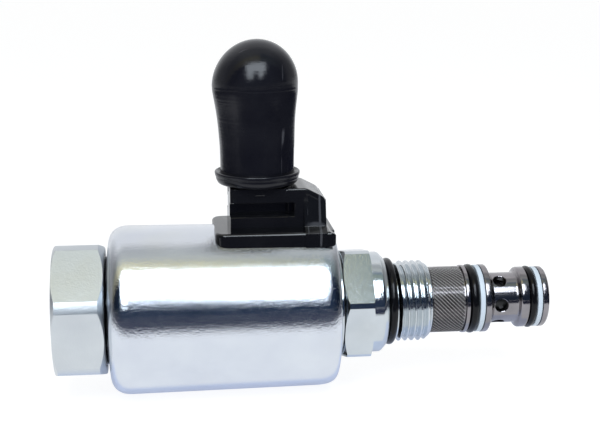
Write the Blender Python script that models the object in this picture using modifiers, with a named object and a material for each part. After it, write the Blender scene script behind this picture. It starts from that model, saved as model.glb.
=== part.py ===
"""Solenoid cartridge valve: a screw-in hydraulic cartridge with a clamped coil and a capped connector.

The valve's axis is X, with the nose at +X. The origin is on the axis, in the plane of the seat face
that the port O-ring lies against. The connector stands up along +Z. Lengths below are millimetres.
"""
import math

import bmesh
import bpy
from mathutils import Matrix

MM = 0.001
GAP = 0.3                      # clearance left between neighbouring pieces

# Stations along the axis, from the coil nut at the rear to the nose
NUT_REAR, NUT_FRONT = -89.2, -75.6
CAN_REAR, CAN_FRONT = -74.7, -13.9
WASHER_REAR, WASHER_FRONT = -13.6, -12.6
HEX_REAR, HEX_FRONT = -12.3, -4.5
COLLAR_FRONT = -1.5
SEAT = 0.0
THREAD_START, THREAD_END = 2.7, 12.2
SCREEN_REAR, SCREEN_FRONT = 12.5, 21.5
UPPER_LAND, UPPER_GROOVE_REAR, UPPER_GROOVE_FRONT = 21.8, 22.8, 27.2
WAIST_REAR, WAIST_FRONT = 29.7, 37.1
LOWER_GROOVE_REAR, LOWER_GROOVE_FRONT = 39.6, 43.5
NOSE_END = 45.2

# Coil and its nut
CAN_REAR_R, CAN_FRONT_R, CAN_WALL, CAN_CORNER = 22.85, 22.25, 1.6, 5.0
PLATE_THICK, PLATE_R = 2.8, 20.1
TUBE_R, TUBE_BORE_R = 7.9, 6.7
TUBE_REAR, TUBE_FRONT = -86.8, -5.8
NUT_FLATS, NUT_TURNED_R, NUT_CORNER_ANGLE = 34.2, 18.9, 18.8

# Valve body and cage; each angle turns a corner or a hole from -Y towards +Z, in degrees
HEX_FLATS, HEX_TURNED_R, HEX_CORNER_ANGLE = 28.575, 16.1, 12.5
COLLAR_R, SEAT_R, UNDERCUT_R = 13.8, 12.2, 9.5
THREAD_R, THREAD_PITCH, THREAD_DEPTH = 11.11, 1.814, 1.1
SCREEN_R, SCREEN_WALL = 9.17, 0.42
UPPER_LAND_R, WAIST_R, LOWER_LAND_R = 9.4, 6.98, 8.4
SCREEN_SEAT_R, CAGE_TAIL_R, CAGE_BORE_R = 8.4, 7.6, 5.55
UPPER_ROOT_R, LOWER_ROOT_R, RING_GROOVE_R = 6.95, 6.5, 6.1
WAIST_HOLE_R, WAIST_HOLE_X, WAIST_HOLES, WAIST_HOLE_ANGLE = 1.7, 32.1, 6, -3.0
SUPPLY_HOLE_R, SUPPLY_HOLE_X, SUPPLY_HOLES = 2.1, 17.2, 4

# Moving pieces
ARMATURE_REAR, ARMATURE_FRONT, ARMATURE_R = -62.0, -34.7, 6.4
PIN_R, PIN_REAR, PIN_FRONT = 1.4, -43.5, 9.7
SPOOL_REAR, SPOOL_FRONT, SPOOL_R = 10.0, 38.0, 5.25

# Connector and dust cap, which stand on the coil at this place along the axis
CONNECTOR_X = -34.45
SADDLE_X, SADDLE_HALF_Y, SADDLE_R = (-47.0, -14.3), 11.8, 25.3
TOWER_X, TOWER_HALF_Y, TOWER_TOP = (-42.2, -25.2), 7.8, 33.9
BLOCK_X, BLOCK_HALF_Y, BLOCK_TOP = (-26.0, -17.0), 7.2, 33.9
STEP_X, STEP_TOP = (-22.7, -15.2), 25.5
STEM_HALF_Y, STEM_BOTTOM = 8.0, 21.0
BOSS_R, BOSS_TOP = 8.0, 41.0
SHROUD_X, SHROUD_Y, SHROUD_CORNER, SHROUD_TOP, SHROUD_WALL = 13.6, 11.6, 4.5, 58.0, 1.5
SOCKET_FLOOR = 41.5
TERMINAL_R, TERMINAL_PITCH, TERMINAL_BOTTOM, TERMINAL_TOP = 0.8, 4.6, 37.5, 51.5
CAP_BOTTOM, CAP_TOP, CAP_WALL = 34.3, 72.4, 1.5
CAP_COLLAR_R, CAP_COLLAR_TOP = 11.2, 38.6
CAP_NECK_R, CAP_NECK_Z = 9.85, 42.5
CAP_DOME_R, CAP_DOME_Z = 11.35, 60.5
CAP_MOUTH_R = 8.4

COARSE, FINE = 24, 32          # steps round small and large turned pieces

PALETTE = {                    # colour, metallic, roughness
    "zinc_plated_steel": ((0.62, 0.65, 0.66), 1.0, 0.28),
    "turned_steel": ((0.45, 0.43, 0.41), 1.0, 0.22),
    "stainless_steel": ((0.55, 0.55, 0.54), 1.0, 0.25),
    "soft_iron": ((0.36, 0.36, 0.37), 1.0, 0.4),
    "spring_steel": ((0.3, 0.31, 0.33), 1.0, 0.3),
    "steel_mesh": ((0.3, 0.27, 0.22), 1.0, 0.45),
    "black_rubber": ((0.012, 0.012, 0.013), 0.0, 0.35),
    "black_plastic": ((0.015, 0.015, 0.017), 0.0, 0.25),
    "cap_rubber": ((0.014, 0.014, 0.015), 0.0, 0.42),
    "white_ptfe": ((0.78, 0.82, 0.86), 0.0, 0.4),
    "bobbin_nylon": ((0.12, 0.1, 0.08), 0.0, 0.5),
    "enamelled_copper": ((0.55, 0.2, 0.08), 1.0, 0.35),
    "brass": ((0.6, 0.45, 0.2), 1.0, 0.3),
    "tinned_brass": ((0.62, 0.62, 0.6), 1.0, 0.25),
}


def new_collection(name):
    collection = bpy.data.collections.new(name)
    bpy.context.scene.collection.children.link(collection)
    return collection


def material(name):
    if name in bpy.data.materials:
        return bpy.data.materials[name]
    colour, metallic, roughness = PALETTE[name]
    made = bpy.data.materials.new(name)
    made.use_nodes = True
    shader = made.node_tree.nodes["Principled BSDF"]
    shader.inputs["Base Color"].default_value = (*colour, 1.0)
    shader.inputs["Metallic"].default_value = metallic
    shader.inputs["Roughness"].default_value = roughness
    made.diffuse_color = (*colour, 1.0)
    return made


def finish(obj, collection, finish_name=None):
    """Put an object in its collection, with its material, or hide it as a cutter."""
    for old in obj.users_collection:
        old.objects.unlink(obj)
    collection.objects.link(obj)
    if finish_name is None:
        obj.hide_render = True
        obj.display_type = 'WIRE'
    else:
        obj.data.materials.append(material(finish_name))
    return obj


def mesh_object(name, bm, collection, finish_name=None):
    mesh = bpy.data.meshes.new(name)
    bm.to_mesh(mesh)
    bm.free()
    return finish(bpy.data.objects.new(name, mesh), collection, finish_name)


def arc(centre_x, centre_r, radius, start, end, count=5):
    """Points (x, r) of an arc in the profile plane; degrees from +X towards growing radius."""
    angles = [math.radians(start + (end - start) * i / count) for i in range(count + 1)]
    return [(centre_x + radius * math.cos(a), centre_r + radius * math.sin(a)) for a in angles]


def turned(name, profile, collection, finish_name=None, steps=COARSE, upright_at=None):
    """Turn a profile of (x, r) points about the X axis, or about a vertical axis at upright_at.

    The profile runs along the outside towards growing x and comes back along the bore. One that
    starts and ends on the axis makes a solid without a bore.
    """
    solid = profile[0][1] == 0.0 and profile[-1][1] == 0.0
    bm = bmesh.new()
    verts = [bm.verts.new((r * MM, 0.0, x * MM)) for x, r in reversed(profile)]
    for first, second in zip(verts, verts[1:]):
        bm.edges.new((first, second))
    if not solid:
        bm.edges.new((verts[-1], verts[0]))
    obj = mesh_object(name, bm, collection, finish_name)
    screw = obj.modifiers.new("Turn", 'SCREW')
    screw.steps = steps
    screw.render_steps = steps
    screw.use_merge_vertices = True
    screw.merge_threshold = 0.00001
    if upright_at is None:
        obj.rotation_euler = (0.0, math.pi / 2, 0.0)
    else:
        obj.location.x = upright_at * MM
    return obj


def box(name, x_range, y_range, z_range, collection, finish_name=None, bevel=0.0):
    """A box between limits, with its edges rounded where bevel is given."""
    ranges = (x_range, y_range, z_range)
    size = [(high - low) * MM for low, high in ranges]
    bm = bmesh.new()
    bmesh.ops.create_cube(bm, size=1.0, matrix=Matrix.Diagonal((*size, 1.0)))
    obj = mesh_object(name, bm, collection, finish_name)
    obj.location = [(high + low) / 2 * MM for low, high in ranges]
    if bevel:
        rounding = obj.modifiers.new("Rounding", 'BEVEL')
        rounding.width = bevel * MM
        rounding.segments = 2
    return obj


def rod(name, radius, start, end, collection, finish_name=None, sides=16):
    """A cylinder or prism of this many sides from one point to another."""
    centre = [(a + b) / 2 * MM for a, b in zip(start, end)]
    along = [(b - a) * MM for a, b in zip(start, end)]
    length = math.dist((0.0, 0.0, 0.0), along)
    bm = bmesh.new()
    bmesh.ops.create_cone(bm, cap_ends=True, segments=sides, radius1=radius * MM,
                          radius2=radius * MM, depth=length)
    obj = mesh_object(name, bm, collection, finish_name)
    obj.location = centre
    obj.rotation_euler = (0.0, math.acos(along[2] / length), math.atan2(along[1], along[0]))
    return obj


def hexagon(name, flats, x_range, corner_angle):
    """A hexagonal prism along X, with a corner turned from -Y towards +Z by an angle in degrees."""
    corner_r = flats / math.sqrt(3.0)
    prism = rod(name, corner_r, (x_range[0], 0.0, 0.0), (x_range[1], 0.0, 0.0), CUTTERS, None, 6)
    corner = prism.data.vertices[0].co
    start = math.degrees(math.atan2(corner.y, corner.x))
    prism.rotation_euler = (0.0, math.pi / 2, 0.0)
    prism.data.transform(Matrix.Rotation(math.radians(-90.0 - corner_angle - start), 4, 'Z'))
    return prism


def ring(name, x, mean_r, section_r, finish_name):
    """An O-ring of round section lying across the axis at x."""
    bpy.ops.mesh.primitive_torus_add(major_segments=COARSE, minor_segments=8,
                                     major_radius=mean_r * MM, minor_radius=section_r * MM,
                                     location=(x * MM, 0.0, 0.0), rotation=(0.0, math.pi / 2, 0.0))
    obj = bpy.context.object
    obj.name = name
    return finish(obj, PARTS, finish_name)


def sleeve(name, x_range, outer_r, inner_r, finish_name, steps=COARSE, collection=None):
    """A plain tube or washer."""
    rear, front = x_range
    profile = [(rear, outer_r), (front, outer_r), (front, inner_r), (rear, inner_r)]
    return turned(name, profile, collection or PARTS, finish_name, steps)


def boolean(obj, cutter, operation='DIFFERENCE'):
    modifier = obj.modifiers.new(cutter.name, 'BOOLEAN')
    modifier.operation = operation
    modifier.solver = 'EXACT'
    modifier.object = cutter


def coil_spring(name, x_range, mean_r, wire_r, turns, finish_name):
    """A helical compression spring along the axis, whose first and last turns lie closer."""
    curve = bpy.data.curves.new(name, 'CURVE')
    curve.dimensions = '3D'
    curve.bevel_depth = wire_r * MM
    curve.bevel_resolution = 1
    curve.use_fill_caps = True
    per_turn = 8
    count = turns * per_turn
    rear, front = x_range[0] + wire_r, x_range[1] - wire_r
    spline = curve.splines.new('POLY')
    spline.points.add(count)
    for i, point in enumerate(spline.points):
        share = i / count
        eased = share - 0.5 * math.sin(2.0 * math.pi * share) / (2.0 * math.pi)
        angle = 2.0 * math.pi * i / per_turn
        x = rear + (front - rear) * eased
        point.co = (x * MM, mean_r * math.cos(angle) * MM, mean_r * math.sin(angle) * MM, 1.0)
    least = (front - rear) * 0.5 / turns - 2.0 * wire_r
    print(f"{name}: least gap between turns about {least:.2f} mm")
    return finish(bpy.data.objects.new(name, curve), PARTS, finish_name)


def coil_nut():
    """Hexagonal nut that clamps the coil on the tube, with a groove for its face seal."""
    bevel = 1.6
    groove = [(NUT_FRONT - 1.7, 15.2), (NUT_FRONT - 1.7, 12.6)]
    profile = [(NUT_REAR, NUT_TURNED_R - bevel), (NUT_REAR + bevel * 0.6, NUT_TURNED_R),
               (NUT_FRONT - bevel * 0.6, NUT_TURNED_R), (NUT_FRONT, NUT_TURNED_R - bevel),
               (NUT_FRONT, groove[0][1]), *groove, (NUT_FRONT, groove[1][1]),
               (NUT_FRONT, TUBE_R + GAP), (NUT_REAR + 1.0, TUBE_R + GAP), (NUT_REAR, TUBE_R + 1.3)]
    nut = turned("coil_nut", profile, PARTS, "zinc_plated_steel", FINE)
    flats = hexagon("nut_flats", NUT_FLATS, (NUT_REAR - 1.0, NUT_FRONT + 1.0), NUT_CORNER_ANGLE)
    boolean(nut, flats, 'INTERSECT')
    ring("nut_seal", NUT_FRONT - 0.4, 13.9, 1.0, "black_rubber")


def coil():
    """Drawn steel can, flux plates, bobbin and winding."""
    inner_corner = CAN_CORNER - CAN_WALL
    rear_r, front_r = CAN_REAR_R - CAN_CORNER, CAN_FRONT_R - CAN_CORNER
    rear_x, front_x = CAN_REAR + CAN_CORNER, CAN_FRONT - CAN_CORNER
    mouth_r = front_r - 0.5
    profile = [(CAN_REAR, TUBE_R + 0.6)]
    profile += arc(rear_x, rear_r, CAN_CORNER, 180, 90)
    profile += arc(front_x, front_r, CAN_CORNER, 90, 0)
    profile += [(CAN_FRONT, mouth_r), (CAN_FRONT - CAN_WALL, mouth_r)]
    profile += arc(front_x, front_r, inner_corner, 0, 90, 4)
    profile += arc(rear_x, rear_r, inner_corner, 90, 180, 4)
    profile += [(CAN_REAR + CAN_WALL, TUBE_R + 0.6)]
    can = turned("coil_can", profile, PARTS, "zinc_plated_steel", FINE)
    notch = box("can_notch", (TOWER_X[0] - 0.9, -8.0), (-STEM_HALF_Y - GAP, STEM_HALF_Y + GAP),
                (15.0, 30.0), CUTTERS)
    boolean(can, notch)

    for name, outer_x, towards in (("rear_flux_plate", CAN_REAR + CAN_WALL + GAP, 1.0),
                                   ("front_flux_plate", CAN_FRONT - CAN_WALL - GAP, -1.0)):
        rim = [(outer_x, front_r - 0.1), (outer_x + 1.9 * towards, PLATE_R),
               (outer_x + PLATE_THICK * towards, PLATE_R)]
        bore = [(outer_x + PLATE_THICK * towards, TUBE_R + GAP), (outer_x, TUBE_R + GAP)]
        outline = rim + bore if towards > 0 else list(reversed(rim)) + list(reversed(bore))
        turned(name, outline, PARTS, "soft_iron")

    rear, front = (CAN_REAR + CAN_WALL + PLATE_THICK + 2 * GAP,
                   CAN_FRONT - CAN_WALL - PLATE_THICK - 2 * GAP)
    hub_r, flange_r, flange = 9.6, 20.0, 1.4
    turned("bobbin", [(rear, flange_r), (rear + flange, flange_r), (rear + flange, hub_r),
                      (front - flange, hub_r), (front - flange, flange_r), (front, flange_r),
                      (front, TUBE_R + GAP), (rear, TUBE_R + GAP)], PARTS, "bobbin_nylon")
    sleeve("winding", (rear + flange + GAP, front - flange - GAP), 19.4, hub_r + GAP,
           "enamelled_copper")


def shroud_outline(name, width_x, width_y, corner, z_range, collection):
    """An upright prism with a rounded rectangular outline, centred on the connector's axis."""
    curve = bpy.data.curves.new(name, 'CURVE')
    curve.dimensions = '2D'
    curve.fill_mode = 'BOTH'
    curve.extrude = (z_range[1] - z_range[0]) / 2 * MM
    spline = curve.splines.new('POLY')
    points = []
    for quarter, (sign_x, sign_y) in enumerate(((1, 1), (-1, 1), (-1, -1), (1, -1))):
        centre_x, centre_y = sign_x * (width_x / 2 - corner), sign_y * (width_y / 2 - corner)
        for step in range(5):
            angle = math.radians(90 * quarter + 22.5 * step)
            points.append((centre_x + corner * math.cos(angle), centre_y + corner * math.sin(angle)))
    spline.points.add(len(points) - 1)
    spline.use_cyclic_u = True
    for point, (x, y) in zip(spline.points, points):
        point.co = (x * MM, y * MM, 0.0, 1.0)
    flat = bpy.data.objects.new(name + "_curve", curve)
    bpy.context.scene.collection.objects.link(flat)
    graph = bpy.context.evaluated_depsgraph_get()
    mesh = bpy.data.meshes.new_from_object(flat.evaluated_get(graph))
    bm = bmesh.new()
    bm.from_mesh(mesh)
    bmesh.ops.remove_doubles(bm, verts=bm.verts, dist=0.00001)
    bmesh.ops.recalc_face_normals(bm, faces=bm.faces)
    bpy.data.objects.remove(flat)
    bpy.data.meshes.remove(mesh)
    obj = mesh_object(name, bm, collection)
    obj.location = (CONNECTOR_X * MM, 0.0, (z_range[0] + z_range[1]) / 2 * MM)
    return obj


def connector():
    """Moulded housing: saddle on the can, tower, side block and the two-pin socket."""
    inner_r = CAN_REAR_R + 0.1
    saddle_profile = [(SADDLE_X[0], SADDLE_R - 0.6), (SADDLE_X[0] + 0.6, SADDLE_R),
                      (SADDLE_X[1] - 2.2, SADDLE_R), (SADDLE_X[1], SADDLE_R - 1.7),
                      (SADDLE_X[1], inner_r), (SADDLE_X[0], inner_r)]
    housing = turned("connector_housing", saddle_profile, PARTS, "black_plastic", 72)
    trim = box("saddle_trim", (SADDLE_X[0] - 2.0, SADDLE_X[1] + 2.0),
               (-SADDLE_HALF_Y, SADDLE_HALF_Y), (10.0, 40.0), CUTTERS)
    boolean(housing, trim, 'INTERSECT')

    tower = box("tower", TOWER_X, (-TOWER_HALF_Y, TOWER_HALF_Y), (STEM_BOTTOM, TOWER_TOP), CUTTERS,
                bevel=0.6)
    stem = box("stem", (TOWER_X[0], SADDLE_X[1] - 0.3), (-STEM_HALF_Y, STEM_HALF_Y),
               (STEM_BOTTOM, inner_r + 1.5), CUTTERS)
    block = box("block", BLOCK_X, (-BLOCK_HALF_Y, BLOCK_HALF_Y), (STEM_BOTTOM + 1.5, BLOCK_TOP),
                CUTTERS, bevel=0.8)
    step = box("step", STEP_X, (-SADDLE_HALF_Y + 0.1, SADDLE_HALF_Y - 0.1), (16.0, STEP_TOP), CUTTERS)
    slope = box("block_slope", (-4.0, 8.0), (-12.0, 12.0), (0.0, 8.0), CUTTERS)
    slope.location = ((BLOCK_X[1] - 1.2) * MM, 0.0, (BLOCK_TOP + 2.3) * MM)
    slope.rotation_euler.y = math.radians(30.0)
    clearance = turned("can_clearance", [(SADDLE_X[0] - 4.0, 0.0), (SADDLE_X[0] - 4.0, inner_r),
                                         (-10.0, inner_r), (-10.0, 0.0)], CUTTERS, None, 72)
    boss = turned("boss", [(TOWER_TOP - 2.0, 0.0), (TOWER_TOP - 2.0, BOSS_R), (BOSS_TOP - 0.6, BOSS_R),
                           (BOSS_TOP, BOSS_R - 0.6), (BOSS_TOP, 0.0)], CUTTERS, None, COARSE, CONNECTOR_X)
    shroud = shroud_outline("shroud", SHROUD_X, SHROUD_Y, SHROUD_CORNER,
                            (BOSS_TOP - 2.0, SHROUD_TOP), CUTTERS)
    socket = shroud_outline("socket", SHROUD_X - 2 * SHROUD_WALL, SHROUD_Y - 2 * SHROUD_WALL,
                            SHROUD_CORNER - SHROUD_WALL, (SOCKET_FLOOR, SHROUD_TOP + 5.0), CUTTERS)
    boolean(step, clearance)
    boolean(block, slope)
    for piece in (step, block, tower, stem, boss, shroud):
        boolean(housing, piece, 'UNION')

    for side in (-1.0, 1.0):
        recess = box(f"tower_recess_{int(side)}", (TOWER_X[0] + 0.4, TOWER_X[1] - 1.8),
                     (-1.0, 1.0), (26.4, 30.0), CUTTERS)
        recess.location.y = side * (TOWER_HALF_Y + 0.1) * MM
        boolean(housing, recess)
    boolean(housing, socket)
    for number, side in enumerate((-1.0, 1.0), start=1):
        x = CONNECTOR_X + side * TERMINAL_PITCH / 2
        seat = rod(f"terminal_seat_{number}", TERMINAL_R + GAP, (x, 0.0, TERMINAL_BOTTOM - GAP),
                   (x, 0.0, SOCKET_FLOOR + 1.0), CUTTERS, None, 12)
        boolean(housing, seat)
        turned(f"terminal_pin_{number}",
               [(TERMINAL_BOTTOM, 0.0), (TERMINAL_BOTTOM, TERMINAL_R), (TERMINAL_TOP - 0.8, TERMINAL_R),
                (TERMINAL_TOP, 0.35), (TERMINAL_TOP, 0.0)], PARTS, "tinned_brass", 12, x)


def dust_cap():
    """Hollow rubber cap: rolled collar, drawn-in neck and domed head, open at the bottom."""
    dome_height = CAP_TOP - CAP_DOME_Z
    inner_r, inner_height = CAP_DOME_R - CAP_WALL, dome_height - CAP_WALL
    outer = [(CAP_BOTTOM, CAP_COLLAR_R - 0.7), (CAP_BOTTOM + 0.7, CAP_COLLAR_R),
             (CAP_COLLAR_TOP - 1.2, CAP_COLLAR_R), (CAP_COLLAR_TOP, CAP_COLLAR_R - 1.3),
             (CAP_COLLAR_TOP + 1.4, CAP_NECK_R + 0.1), (CAP_NECK_Z, CAP_NECK_R),
             (52.0, 10.3)]
    dome = [(CAP_DOME_Z + dome_height * math.sin(math.radians(a)), CAP_DOME_R * math.cos(math.radians(a)))
            for a in range(0, 90, 15)]
    hollow = [(CAP_DOME_Z + inner_height * math.sin(math.radians(a)), inner_r * math.cos(math.radians(a)))
              for a in range(75, -1, -15)]
    profile = outer + dome + [(CAP_TOP, 0.0), (CAP_TOP - CAP_WALL, 0.0)] + hollow
    profile += [(CAP_NECK_Z, CAP_MOUTH_R), (CAP_BOTTOM, CAP_MOUTH_R)]
    upright_cap(profile)


def upright_cap(profile):
    """Turn the cap's open profile, whose two axis points close its dome outside and inside."""
    bm = bmesh.new()
    verts = [bm.verts.new((r * MM, 0.0, z * MM)) for z, r in profile]
    apex = next(i for i, (_, r) in enumerate(profile) if r == 0.0)
    for i, vert in enumerate(verts):
        if i != apex:
            bm.edges.new((verts[(i + 1) % len(verts)], vert))
    cap = mesh_object("dust_cap", bm, PARTS, "cap_rubber")
    screw = cap.modifiers.new("Turn", 'SCREW')
    screw.steps = COARSE
    screw.render_steps = COARSE
    screw.use_merge_vertices = True
    screw.merge_threshold = 0.00001
    cap.location.x = CONNECTOR_X * MM


def core():
    """Guide tube with its plug, the fixed pole, its seal and the shim on the pole's face."""
    sleeve("thrust_washer", (WASHER_REAR, WASHER_FRONT), 14.65, TUBE_R + 0.5, "zinc_plated_steel")
    sleeve("guide_tube", (TUBE_REAR, TUBE_FRONT), TUBE_R, TUBE_BORE_R, "stainless_steel")
    plug_front = -80.8
    plug = turned("tube_end_plug", [(TUBE_REAR + 0.6, 0.0), (TUBE_REAR + 0.6, ARMATURE_R - 0.5),
                                    (TUBE_REAR + 1.1, ARMATURE_R), (plug_front, ARMATURE_R),
                                    (plug_front, 0.0)], PARTS, "stainless_steel")
    boolean(plug, rod("plug_key", 2.9, (TUBE_REAR - 1.0, 0.0, 0.0), (TUBE_REAR + 4.0, 0.0, 0.0),
                      CUTTERS, None, 6))
    pole_rear, pole_front, seal_x = -31.7, -2.9, -4.25
    turned("pole_piece", [(pole_rear, 5.9), (pole_rear + 0.5, ARMATURE_R), (seal_x - 1.05, ARMATURE_R),
                          (seal_x - 1.05, 4.7), (seal_x + 1.05, 4.7), (seal_x + 1.05, ARMATURE_R),
                          (pole_front, ARMATURE_R), (pole_front, PIN_R + GAP),
                          (pole_rear, PIN_R + GAP)], PARTS, "soft_iron")
    ring("core_seal", seal_x, 5.75, 0.75, "black_rubber")
    sleeve("air_gap_shim", (-32.4, -32.0), 5.8, 2.2, "brass")


def solenoid_plunger():
    """Armature with its push pin and the light spring behind it."""
    bore_r, groove = PIN_R + GAP, 0.5
    middle = (ARMATURE_REAR + ARMATURE_FRONT) / 2
    turned("armature", [(ARMATURE_REAR, 0.0), (ARMATURE_REAR, ARMATURE_R - groove),
                        (ARMATURE_REAR + groove, ARMATURE_R), (middle - 1.0, ARMATURE_R),
                        (middle - 0.5, ARMATURE_R - groove), (middle + 0.5, ARMATURE_R - groove),
                        (middle + 1.0, ARMATURE_R), (ARMATURE_FRONT - groove, ARMATURE_R),
                        (ARMATURE_FRONT, ARMATURE_R - groove), (ARMATURE_FRONT, bore_r),
                        (PIN_REAR - GAP, bore_r), (PIN_REAR - GAP, 0.0)], PARTS, "soft_iron")
    turned("push_pin", [(PIN_REAR, 0.0), (PIN_REAR, PIN_R), (PIN_FRONT - 0.4, PIN_R),
                        (PIN_FRONT, PIN_R - 0.4), (PIN_FRONT, 0.0)], PARTS, "stainless_steel", 16)
    coil_spring("armature_spring", (-80.6, ARMATURE_REAR - GAP), 4.2, 0.45, 6, "spring_steel")


def valve_body():
    """Hexagonal body with a turned collar, a cone, the port seal's undercut and its thread."""
    bevel, tip_r = 1.0, THREAD_R - THREAD_DEPTH
    profile = [(HEX_REAR, HEX_TURNED_R - bevel * 1.6), (HEX_REAR + bevel, HEX_TURNED_R),
               (HEX_FRONT, HEX_TURNED_R), (HEX_FRONT, COLLAR_R), (COLLAR_FRONT, COLLAR_R),
               (SEAT, SEAT_R), (SEAT, UNDERCUT_R), (THREAD_START, UNDERCUT_R),
               (THREAD_START + 0.3, tip_r)]
    turns = int((THREAD_END - 1.8 - THREAD_START) / THREAD_PITCH)
    for i in range(turns):
        crest = THREAD_START + 0.3 + THREAD_PITCH * (i + 0.5)
        profile += [(crest - 0.12, THREAD_R), (crest + 0.12, THREAD_R),
                    (crest + THREAD_PITCH / 2, tip_r)]
    profile += [(profile[-1][0] + 0.9, THREAD_R - 0.4), (THREAD_END, tip_r - 0.2)]
    profile += [(THREAD_END, CAGE_TAIL_R + GAP), (1.2, CAGE_TAIL_R + GAP), (1.2, PIN_R + 0.5),
                (-2.4, PIN_R + 0.5), (-2.4, ARMATURE_R + 0.4), (-5.5, ARMATURE_R + 0.4),
                (-5.5, TUBE_R + GAP), (HEX_REAR, TUBE_R + GAP)]
    body = turned("valve_body", profile, PARTS, "zinc_plated_steel", FINE)
    envelope = hexagon("body_flats", HEX_FLATS, (HEX_REAR - 1.0, HEX_FRONT), HEX_CORNER_ANGLE)
    front_r = (COLLAR_R + HEX_FLATS / 2) / 2 + 0.05
    boolean(envelope, rod("body_front", front_r, (HEX_FRONT - 2.0, 0.0, 0.0),
                          (THREAD_END + 1.0, 0.0, 0.0), CUTTERS, None, 60), 'UNION')
    boolean(body, envelope, 'INTERSECT')
    ring("port_oring", 1.35, 10.9, 1.05, "black_rubber")


def radial_hole(name, radius, x, reach, degrees):
    """A cutter from inside the cage's bore outwards, at an angle from -Y towards +Z."""
    angle = math.radians(degrees)
    start = (x, -2.0 * math.cos(angle), 2.0 * math.sin(angle))
    end = (x, -reach * math.cos(angle), reach * math.sin(angle))
    return rod(name, radius, start, end, CUTTERS, None, 12)


def cage():
    """Ported cage with two sealing lands, its screen, O-rings and backup rings."""
    edge = 0.5
    waist_bevel = 0.9
    profile = [(1.5, CAGE_TAIL_R - edge), (1.5 + edge, CAGE_TAIL_R), (THREAD_END, CAGE_TAIL_R),
               (THREAD_END + 0.2, SCREEN_SEAT_R), (UPPER_LAND, SCREEN_SEAT_R),
               (UPPER_LAND, UPPER_LAND_R), (UPPER_GROOVE_REAR, UPPER_LAND_R),
               (UPPER_GROOVE_REAR, UPPER_ROOT_R), (UPPER_GROOVE_FRONT, UPPER_ROOT_R),
               (UPPER_GROOVE_FRONT, UPPER_LAND_R), (WAIST_REAR - waist_bevel, UPPER_LAND_R),
               (WAIST_REAR, WAIST_R + 0.6), (WAIST_REAR + 0.6, WAIST_R), (WAIST_FRONT, WAIST_R),
               (WAIST_FRONT, LOWER_LAND_R - 0.4), (WAIST_FRONT + 0.4, LOWER_LAND_R),
               (LOWER_GROOVE_REAR, LOWER_LAND_R), (LOWER_GROOVE_REAR, LOWER_ROOT_R),
               (LOWER_GROOVE_FRONT, LOWER_ROOT_R), (LOWER_GROOVE_FRONT, LOWER_LAND_R),
               (NOSE_END - edge, LOWER_LAND_R), (NOSE_END, LOWER_LAND_R - edge),
               (NOSE_END, CAGE_BORE_R), (NOSE_END - 0.4, CAGE_BORE_R), (NOSE_END - 0.4, RING_GROOVE_R),
               (NOSE_END - 1.6, RING_GROOVE_R), (NOSE_END - 1.6, CAGE_BORE_R), (1.5, CAGE_BORE_R)]
    part = turned("cage", profile, PARTS, "turned_steel")
    for i in range(WAIST_HOLES):
        boolean(part, radial_hole(f"waist_hole_{i}", WAIST_HOLE_R, WAIST_HOLE_X, 9.0,
                                  WAIST_HOLE_ANGLE + 360.0 * i / WAIST_HOLES))
    for i in range(SUPPLY_HOLES):
        boolean(part, radial_hole(f"supply_hole_{i}", SUPPLY_HOLE_R, SUPPLY_HOLE_X, 10.0,
                                  45.0 + 360.0 * i / SUPPLY_HOLES))
    sleeve("filter_screen", (SCREEN_REAR, SCREEN_FRONT), SCREEN_R, SCREEN_R - SCREEN_WALL, "steel_mesh")
    ring("upper_oring", UPPER_GROOVE_REAR + 1.45, 8.4, 1.15, "black_rubber")
    sleeve("upper_backup_ring", (UPPER_GROOVE_FRONT - 1.5, UPPER_GROOVE_FRONT - GAP), 9.25,
           UPPER_ROOT_R + GAP, "white_ptfe")
    ring("lower_oring", LOWER_GROOVE_REAR + 1.2, 7.7, 0.9, "black_rubber")
    sleeve("lower_backup_ring", (LOWER_GROOVE_FRONT - 1.5, LOWER_GROOVE_FRONT - GAP), 8.3,
           LOWER_ROOT_R + GAP, "white_ptfe")


def spool():
    """Ported spool, its return spring, and the seat and ring that hold the spring in the nose."""
    counterbore_x, counterbore_r = 28.5, 3.5
    part = turned("spool", [(SPOOL_REAR, 0.0), (SPOOL_REAR, SPOOL_R - 0.4), (SPOOL_REAR + 0.4, SPOOL_R),
                            (14.2, SPOOL_R), (14.2, 3.6), (20.4, 3.6), (20.4, SPOOL_R),
                            (SPOOL_FRONT - 0.4, SPOOL_R), (SPOOL_FRONT, SPOOL_R - 0.4),
                            (SPOOL_FRONT, counterbore_r), (counterbore_x, counterbore_r),
                            (counterbore_x, 1.5), (16.0, 1.5), (16.0, 0.0)], PARTS, "turned_steel")
    boolean(part, rod("spool_cross_hole", 1.1, (SUPPLY_HOLE_X, -6.0, 0.0), (SUPPLY_HOLE_X, 6.0, 0.0),
                      CUTTERS, None, 12))
    seat_rear = NOSE_END - 2.9
    coil_spring("return_spring", (counterbore_x + GAP, seat_rear - GAP), 2.7, 0.4, 5, "spring_steel")
    sleeve("spring_seat", (seat_rear, NOSE_END - 1.6), CAGE_BORE_R - GAP, 2.0, "turned_steel")
    circlip = sleeve("retaining_ring", (NOSE_END - 1.3, NOSE_END - 0.7), 5.8, 4.2, "spring_steel")
    boolean(circlip, box("ring_gap", (NOSE_END - 2.0, NOSE_END), (-1.6, 1.6), (2.0, 8.0), CUTTERS))


for old_object in list(bpy.data.objects):
    bpy.data.objects.remove(old_object)
PARTS = new_collection("cartridge_valve")
CUTTERS = new_collection("cutters")
coil_nut()
coil()
connector()
dust_cap()
core()
solenoid_plunger()
valve_body()
cage()
spool()
for thing in PARTS.objects:
    if thing.type == 'MESH':
        thing.data.shade_smooth()
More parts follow.
